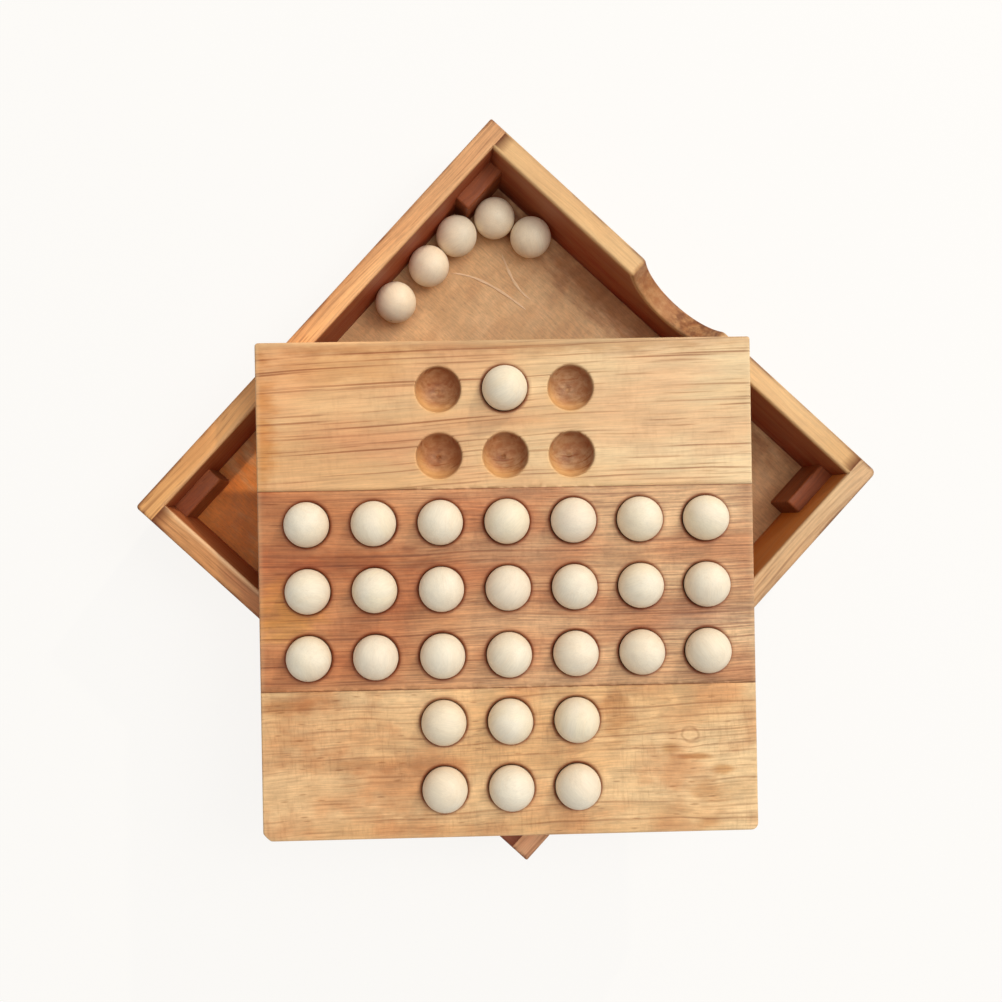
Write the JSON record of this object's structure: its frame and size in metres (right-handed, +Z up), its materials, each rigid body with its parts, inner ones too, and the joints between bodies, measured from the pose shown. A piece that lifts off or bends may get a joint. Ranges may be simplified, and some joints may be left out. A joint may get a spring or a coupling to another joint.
{
  "type": "peg solitaire board",
  "caption": "Square wooden solitaire game: a playing board with a cross of round hollows and loose balls, lying turned across the open tray that it closes and that stores the balls.",
  "frame": {"origin": "centre of the tray's underside", "axes": "+Z up out of the tray; -Y out of the front wall, which has the finger notch; +X to the right seen from the front"},
  "size_m": [0.1782, 0.1788, 0.0425],
  "materials": {
    "tray_wood": "oiled open-pored hardwood",
    "floor_ply": "thin plywood, plain",
    "block_wood": "plain sawn hardwood",
    "pale_board_wood": "oiled open-pored hardwood",
    "russet_board_wood": "oiled open-pored hardwood",
    "ball_wood": "turned and tumbled, unvarnished"
  },
  "bodies": {
    "tray": {"front_wall": "tray_wood", "back_wall": "tray_wood", "left_wall": "tray_wood", "right_wall": "tray_wood", "floor_panel": "floor_ply", "rest_block_front_left": "block_wood", "rest_block_front_right": "block_wood", "rest_block_back_left": "block_wood", "rest_block_back_right": "block_wood"},
    "board": {"board_strip_first": "pale_board_wood", "board_strip_middle": "russet_board_wood", "board_strip_last": "pale_board_wood"},
    "ball_row1_col4": {"ball_row1_col4": "ball_wood"},
    "ball_row3_col1": {"ball_row3_col1": "ball_wood"},
    "ball_row3_col2": {"ball_row3_col2": "ball_wood"},
    "ball_row3_col3": {"ball_row3_col3": "ball_wood"},
    "ball_row3_col4": {"ball_row3_col4": "ball_wood"},
    "ball_row3_col5": {"ball_row3_col5": "ball_wood"},
    "ball_row3_col6": {"ball_row3_col6": "ball_wood"},
    "ball_row3_col7": {"ball_row3_col7": "ball_wood"},
    "ball_row4_col1": {"ball_row4_col1": "ball_wood"},
    "ball_row4_col2": {"ball_row4_col2": "ball_wood"},
    "ball_row4_col3": {"ball_row4_col3": "ball_wood"},
    "ball_row4_col4": {"ball_row4_col4": "ball_wood"},
    "ball_row4_col5": {"ball_row4_col5": "ball_wood"},
    "ball_row4_col6": {"ball_row4_col6": "ball_wood"},
    "ball_row4_col7": {"ball_row4_col7": "ball_wood"},
    "ball_row5_col1": {"ball_row5_col1": "ball_wood"},
    "ball_row5_col2": {"ball_row5_col2": "ball_wood"},
    "ball_row5_col3": {"ball_row5_col3": "ball_wood"},
    "ball_row5_col4": {"ball_row5_col4": "ball_wood"},
    "ball_row5_col5": {"ball_row5_col5": "ball_wood"},
    "ball_row5_col6": {"ball_row5_col6": "ball_wood"},
    "ball_row5_col7": {"ball_row5_col7": "ball_wood"},
    "ball_row6_col3": {"ball_row6_col3": "ball_wood"},
    "ball_row6_col4": {"ball_row6_col4": "ball_wood"},
    "ball_row6_col5": {"ball_row6_col5": "ball_wood"},
    "ball_row7_col3": {"ball_row7_col3": "ball_wood"},
    "ball_row7_col4": {"ball_row7_col4": "ball_wood"},
    "ball_row7_col5": {"ball_row7_col5": "ball_wood"},
    "taken_ball_1": {"taken_ball_1": "ball_wood"},
    "taken_ball_2": {"taken_ball_2": "ball_wood"},
    "taken_ball_3": {"taken_ball_3": "ball_wood"},
    "taken_ball_4": {"taken_ball_4": "ball_wood"},
    "taken_ball_5": {"taken_ball_5": "ball_wood"}
  },
  "joints": [
    {"name": "board_lift", "type": "slide", "parent": "tray", "child": "board", "axis": [0, 0, 1], "range_m": [0, 0.06]},
    {"name": "lift_ball_row1_col4", "type": "slide", "parent": "board", "child": "ball_row1_col4", "axis": [0, 0, 1], "range_m": [0, 0.018]},
    {"name": "lift_ball_row3_col1", "type": "slide", "parent": "board", "child": "ball_row3_col1", "axis": [0, 0, 1], "range_m": [0, 0.018]},
    {"name": "lift_ball_row3_col2", "type": "slide", "parent": "board", "child": "ball_row3_col2", "axis": [0, 0, 1], "range_m": [0, 0.018]},
    {"name": "lift_ball_row3_col3", "type": "slide", "parent": "board", "child": "ball_row3_col3", "axis": [0, 0, 1], "range_m": [0, 0.018]},
    {"name": "lift_ball_row3_col4", "type": "slide", "parent": "board", "child": "ball_row3_col4", "axis": [0, 0, 1], "range_m": [0, 0.018]},
    {"name": "lift_ball_row3_col5", "type": "slide", "parent": "board", "child": "ball_row3_col5", "axis": [0, 0, 1], "range_m": [0, 0.018]},
    {"name": "lift_ball_row3_col6", "type": "slide", "parent": "board", "child": "ball_row3_col6", "axis": [0, 0, 1], "range_m": [0, 0.018]},
    {"name": "lift_ball_row3_col7", "type": "slide", "parent": "board", "child": "ball_row3_col7", "axis": [0, 0, 1], "range_m": [0, 0.018]},
    {"name": "lift_ball_row4_col1", "type": "slide", "parent": "board", "child": "ball_row4_col1", "axis": [0, 0, 1], "range_m": [0, 0.018]},
    {"name": "lift_ball_row4_col2", "type": "slide", "parent": "board", "child": "ball_row4_col2", "axis": [0, 0, 1], "range_m": [0, 0.018]},
    {"name": "lift_ball_row4_col3", "type": "slide", "parent": "board", "child": "ball_row4_col3", "axis": [0, 0, 1], "range_m": [0, 0.018]},
    {"name": "lift_ball_row4_col4", "type": "slide", "parent": "board", "child": "ball_row4_col4", "axis": [0, 0, 1], "range_m": [0, 0.018]},
    {"name": "lift_ball_row4_col5", "type": "slide", "parent": "board", "child": "ball_row4_col5", "axis": [0, 0, 1], "range_m": [0, 0.018]},
    {"name": "lift_ball_row4_col6", "type": "slide", "parent": "board", "child": "ball_row4_col6", "axis": [0, 0, 1], "range_m": [0, 0.018]},
    {"name": "lift_ball_row4_col7", "type": "slide", "parent": "board", "child": "ball_row4_col7", "axis": [0, 0, 1], "range_m": [0, 0.018]},
    {"name": "lift_ball_row5_col1", "type": "slide", "parent": "board", "child": "ball_row5_col1", "axis": [0, 0, 1], "range_m": [0, 0.018]},
    {"name": "lift_ball_row5_col2", "type": "slide", "parent": "board", "child": "ball_row5_col2", "axis": [0, 0, 1], "range_m": [0, 0.018]},
    {"name": "lift_ball_row5_col3", "type": "slide", "parent": "board", "child": "ball_row5_col3", "axis": [0, 0, 1], "range_m": [0, 0.018]},
    {"name": "lift_ball_row5_col4", "type": "slide", "parent": "board", "child": "ball_row5_col4", "axis": [0, 0, 1], "range_m": [0, 0.018]},
    {"name": "lift_ball_row5_col5", "type": "slide", "parent": "board", "child": "ball_row5_col5", "axis": [0, 0, 1], "range_m": [0, 0.018]},
    {"name": "lift_ball_row5_col6", "type": "slide", "parent": "board", "child": "ball_row5_col6", "axis": [0, 0, 1], "range_m": [0, 0.018]},
    {"name": "lift_ball_row5_col7", "type": "slide", "parent": "board", "child": "ball_row5_col7", "axis": [0, 0, 1], "range_m": [0, 0.018]},
    {"name": "lift_ball_row6_col3", "type": "slide", "parent": "board", "child": "ball_row6_col3", "axis": [0, 0, 1], "range_m": [0, 0.018]},
    {"name": "lift_ball_row6_col4", "type": "slide", "parent": "board", "child": "ball_row6_col4", "axis": [0, 0, 1], "range_m": [0, 0.018]},
    {"name": "lift_ball_row6_col5", "type": "slide", "parent": "board", "child": "ball_row6_col5", "axis": [0, 0, 1], "range_m": [0, 0.018]},
    {"name": "lift_ball_row7_col3", "type": "slide", "parent": "board", "child": "ball_row7_col3", "axis": [0, 0, 1], "range_m": [0, 0.018]},
    {"name": "lift_ball_row7_col4", "type": "slide", "parent": "board", "child": "ball_row7_col4", "axis": [0, 0, 1], "range_m": [0, 0.018]},
    {"name": "lift_ball_row7_col5", "type": "slide", "parent": "board", "child": "ball_row7_col5", "axis": [0, 0, 1], "range_m": [0, 0.018]},
    {"name": "lift_taken_ball_1", "type": "slide", "parent": "tray", "child": "taken_ball_1", "axis": [0, 0, 1], "range_m": [0, 0.03]},
    {"name": "lift_taken_ball_2", "type": "slide", "parent": "tray", "child": "taken_ball_2", "axis": [0, 0, 1], "range_m": [0, 0.03]},
    {"name": "lift_taken_ball_3", "type": "slide", "parent": "tray", "child": "taken_ball_3", "axis": [0, 0, 1], "range_m": [0, 0.03]},
    {"name": "lift_taken_ball_4", "type": "slide", "parent": "tray", "child": "taken_ball_4", "axis": [0, 0, 1], "range_m": [0, 0.03]},
    {"name": "lift_taken_ball_5", "type": "slide", "parent": "tray", "child": "taken_ball_5", "axis": [0, 0, 1], "range_m": [0, 0.03]}
  ]
}
